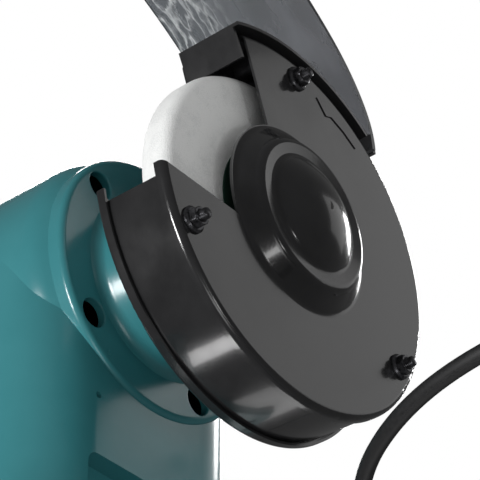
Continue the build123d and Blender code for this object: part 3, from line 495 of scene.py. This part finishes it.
def pan_screw(origin, axis, shank, length, head, height):
    """Cross-recess screw: threaded shank, domed head, and a cross sunk where either arm's distance is small.

    The origin is under the head, and the shank and head are given by their radii. The head's rim is a cosine
    of its height, and its top falls away with the square of the radius. The cross is 0.6 of the head's
    height deep, 0.17 of its radius wide to each side of an arm's middle and 0.62 of its radius long.
    """
    pitch = 0.7
    depth = 0.2
    around = round_angles(64)
    thread = np.linspace(-length + 0.5, -0.6, max(int(length / 0.12), 12))
    edge = np.linspace(0.0, 1.0, 6)
    inward = np.linspace(0.78, 0.02, 26)
    rim = height * (0.35 + 0.6 * edge)
    top = height * (0.95 + 0.05 * (1 - inward ** 2))
    along = np.concatenate([[-length, -length + 0.3], thread, [-0.3, 0.0, 0.0], rim, top])
    plain = np.concatenate([[0.7 * shank, 0.85 * shank], np.full(len(thread), shank),
                            [shank, shank, 0.97 * head], head * np.cos(edge * 0.6) ** 1.2, head * inward])
    radius = np.repeat(plain[:, None], len(around), axis=1)
    radius[2:2 + len(thread)] = threaded(thread, around, shank, pitch, depth)
    along = np.repeat(along[:, None], len(around), axis=1)
    arms = np.minimum(np.abs(radius * np.cos(around)), np.abs(radius * np.sin(around)))
    sunk = np.clip((0.17 * head - arms) / 0.15, 0, 1) * np.clip((0.62 * head - radius) / 0.2, 0, 1)
    sunk[:-len(inward)] = 0
    return surface("screw", about(origin, axis, along - 0.6 * height * sunk, radius, around))


def washer(origin, axis, inner, outer, thick):
    """Flat washer with softened corners."""
    around = round_angles(48)
    soft = 0.12
    along = np.array([soft, 0, 0, soft, thick - soft, thick, thick, thick - soft])
    plain = np.array([inner, inner + soft, outer - soft, outer, outer, outer - soft, inner + soft, inner])
    radius = np.repeat(plain[:, None], len(around), axis=1)
    return surface("washer", about(origin, axis, along, radius, around), closed_path=True)


def guard_fasteners(side, sign):
    """Threaded studs and flange nuts of one guard; each nut has stopped at its own angle."""
    studs = [stud(angle, sign) for angle in BOLT_ANGLES]
    smooth(joined("threaded_studs_" + side, studs, "black_steel", "guard_bolts_" + side), 40)
    nuts = [flange_nut(angle, sign, 0.3 + 0.5 * i) for i, angle in enumerate(BOLT_ANGLES)]
    smooth(joined("flange_nuts_" + side, nuts, "black_steel", "guard_nuts_" + side), 25)


def spark_fastener(side, sign):
    """Washer and screw that clamp one spark guard."""
    turn = math.radians(SPARK_SCREW_ANGLE)
    out = np.array((0.0, -math.sin(turn), math.cos(turn)))
    seat = np.array((sign * SPARK_SCREW_X, 0, SHAFT_Z)) + out * SPARK_SCREW_R
    thick = 0.9
    ring = washer(seat, out, inner=2.2, outer=5.0, thick=thick)
    screw = pan_screw(seat + out * thick, out, shank=2.0, length=10.0, head=3.6, height=2.2)
    smooth(joined("spark_guard_screw_" + side, [ring, screw], "zinc_steel", "spark_screw_" + side), 35)


def shield_fasteners(side, sign):
    """Three screws that clamp one eye shield to its strip."""
    facing = np.array(SHIELD_FACING) / np.linalg.norm(SHIELD_FACING)
    heads = []
    for step in (-1, 0, 1):
        spot = np.array((sign * (SHIELD_SCREW_X + SHIELD_SPACING * step), SHIELD_SCREW_Y, SHIELD_SCREW_Z))
        seat = spot + facing * SHIELD_HALF_T
        heads.append(pan_screw(seat, facing, shank=1.8, length=6.8, head=3.4, height=1.8))
    smooth(joined("shield_pan_screws_" + side, heads, "zinc_steel", "shield_screws_" + side), 35)


def fasteners():
    """Studs, nuts and screws with real threads and heads."""
    for side, sign in SIDES:
        guard_fasteners(side, sign)
        spark_fastener(side, sign)
        shield_fasteners(side, sign)
    plates = []
    for x in (-PLATE_SCREW_X, PLATE_SCREW_X):
        for y in (-PLATE_SCREW_Y, PLATE_SCREW_Y):
            seat = (x, y, PLATE_FACE_Z)
            plates.append(pan_screw(seat, (0, 0, -1), shank=1.6, length=10.0, head=3.4, height=2.0))
    smooth(joined("base_pan_screws", plates, "zinc_steel", "bottom_screws"), 35)
    brackets = []
    for _, sign in SIDES:
        for y, z in BRACKET_SCREWS:
            seat = (sign * (GUARD_BACK - BRACKET_T), y, SHAFT_Z + z)
            brackets.append(pan_screw(seat, (-sign, 0, 0), shank=2.0, length=7.0, head=3.8, height=2.4))
    smooth(joined("bracket_pan_screws", brackets, "zinc_steel", "bracket_screws"), 35)


def winding_bundle(sign):
    """End turn of the stator winding: a rounded ring lobed at the slots and ribbed by its wires.

    The outline is a cosine and a sine raised to the power 0.6. It is shrunk toward its middle by up to
    14 per cent times a squared cosine of twelve times the angle, and by up to 3.5 per cent in grooves that
    run round the ring and lean a little, as lapped wire does.
    """
    around = round_angles(576)
    path = round_angles(72)
    along = WINDING_HALF_X * np.sign(np.cos(path)) * np.abs(np.cos(path)) ** 0.6
    out = WINDING_HALF_R * np.sign(np.sin(path)) * np.abs(np.sin(path)) ** 0.6
    lobes = 1.4 * np.cos(12 * around)[None, :] ** 2
    wires = 0.35 * np.abs(np.sin(14 * path[:, None] + 3 * np.sin(12 * around)[None, :]))
    kept = 1 - (lobes + wires) / 10.0
    radius = WINDING_R + out[:, None] * kept
    run = WINDING_X + along[:, None] * kept
    grid = about((0, 0, SHAFT_Z), (sign, 0, 0), run, radius, around)[::-1]
    return surface("winding", grid, closed_path=True)


def rubber_gland():
    """Strain relief: a waist in the wall's hole, a flange, then a tapering sleeve cut by five grooves.

    Each flange step is a distance along the lead and a radius. The sleeve's taper is a straight line, and
    its grooves are the positive half of a sine, scaled by three and clipped at one for flat bottoms.
    """
    groove_depth = 1.5
    groove_start = 74.0
    groove_end = 92.5
    groove_pitch = 4.0
    around = round_angles(48)
    flange = (
        (57.85, 3.5), (57.85, 9.2), (58.1, 9.45), (63.7, 9.45), (63.75, 9.2), (63.8, 6.85), (67.8, 6.85),
        (67.85, 9.2), (68.1, 9.45), (71.6, 9.05), (72.0, 8.95),
    )
    sleeve = np.linspace(72.2, 93.6, 90)
    taper = 8.9 - 3.6 * (sleeve - sleeve[0]) / (sleeve[-1] - sleeve[0])
    wave = np.sin(2 * np.pi * (sleeve - groove_start) / groove_pitch)
    grooves = groove_depth * np.clip(wave * 3, 0, 1)
    grooves[(sleeve < groove_start) | (sleeve > groove_end)] = 0
    along = np.concatenate([[step[0] for step in flange], sleeve, [93.95]])
    plain = np.concatenate([[step[1] for step in flange], taper - grooves, [3.6]])
    radius = np.repeat(plain[:, None], len(around), axis=1)
    return surface("gland", about((GLAND_X, 0, GLAND_Z), (0, 1, 0), along, radius, around))



fasteners()
smooth(joined("winding_bundles", [winding_bundle(1), winding_bundle(-1)], "enamelled_copper",
              "stator_windings"), 60)
smooth(joined("grooved_gland", [rubber_gland()], "black_rubber", "cord_gland"), 40)


# ---------------------------------------------------------------- studio
def add_light(name, place, target, size, power):
    """Square soft light facing a point."""
    data = bpy.data.lights.new(name, "AREA")
    data.shape = "SQUARE"
    data.size = size
    data.energy = power
    thing = bpy.data.objects.new(name, data)
    thing.location = place
    thing.rotation_euler = (Vector(target) - Vector(place)).to_track_quat("-Z", "Y").to_euler()
    bpy.context.scene.collection.objects.link(thing)


def studio():
    """Pale floor that shows from above only and fades into a white room, with soft lights."""
    scene = bpy.context.scene
    scene.view_settings.view_transform = "Standard"
    world = bpy.data.worlds.new("room")
    scene.world = world
    world.use_nodes = True
    tree = world.node_tree
    tree.nodes.clear()
    path = node(tree, "LightPath")
    seen = path.outputs["Is Camera Ray"]
    glossy = path.outputs["Is Glossy Ray"]
    dimmed = node(tree, "MapRange", None, {"Value": glossy, "To Min": 0.34, "To Max": 0.1})
    room = node(tree, "Background", None, {"Color": (1, 1, 1, 1), "Strength": dimmed.outputs["Result"]})
    backdrop = node(tree, "Background", None, {"Color": (1, 1, 1, 1), "Strength": 1.0})
    mixed = node(tree, "MixShader", None, {0: seen, 1: room.outputs[0], 2: backdrop.outputs[0]})
    node(tree, "OutputWorld", None, {"Surface": mixed.outputs[0]})

    mesh = bpy.data.meshes.new("floor")
    reach = 3.0
    mesh.from_pydata([(-reach, -reach, 0), (reach, -reach, 0), (reach, reach, 0), (-reach, reach, 0)], [],
                     [(0, 1, 2, 3)])
    floor = bpy.data.objects.new("floor", mesh)
    scene.collection.objects.link(floor)
    material, tree, place = new_material("pale floor")
    under = node(tree, "NewGeometry").outputs["Backfacing"]
    paint = node(tree, "BsdfPrincipled", None, {"Base Color": linear("e6e6e6"), "Roughness": 0.8})
    clear = node(tree, "BsdfTransparent")
    away = node(tree, "VectorMath", {"operation": "LENGTH"}, {0: place}).outputs["Value"]
    fade = node(tree, "MapRange", {"interpolation_type": "SMOOTHSTEP"},
                {"Value": away, "From Min": 0.45, "From Max": 1.5}).outputs["Result"]
    glow = node(tree, "Emission", None, {"Color": (1, 1, 1, 1), "Strength": 1.0})
    top = node(tree, "MixShader", None, {0: fade, 1: paint.outputs[0], 2: glow.outputs[0]})
    both = node(tree, "MixShader", None, {0: under, 1: top.outputs[0], 2: clear.outputs[0]})
    node(tree, "OutputMaterial", None, {"Surface": both.outputs[0]})
    mesh.materials.append(material)
    floor.visible_diffuse = False
    floor.visible_glossy = False
    floor.visible_shadow = False

    middle = (0.05, 0.0, 0.15)
    add_light("right back high", (1.45, 2.2, 1.6), middle, 1.4, 3.8)
    add_light("left low", (-1.43, -0.16, -2.43), middle, 0.4, 4.5)
    add_light("left back low", (-1.5, 1.8, -1.7), middle, 1.0, 5)
    add_light("front low", (-0.3, -2.2, -0.7), middle, 0.6, 50)
    add_light("right front low", (1.2, -0.6, -1.2), middle, 0.6, 3)
    add_light("back left high", (-1.1, 1.5, 1.8), middle, 1.1, 60)
    add_light("back high", (0.1, 2.3, 1.7), middle, 0.5, 14)
    add_light("right low", (2.3, -0.2, -0.9), middle, 0.4, 4)


studio()
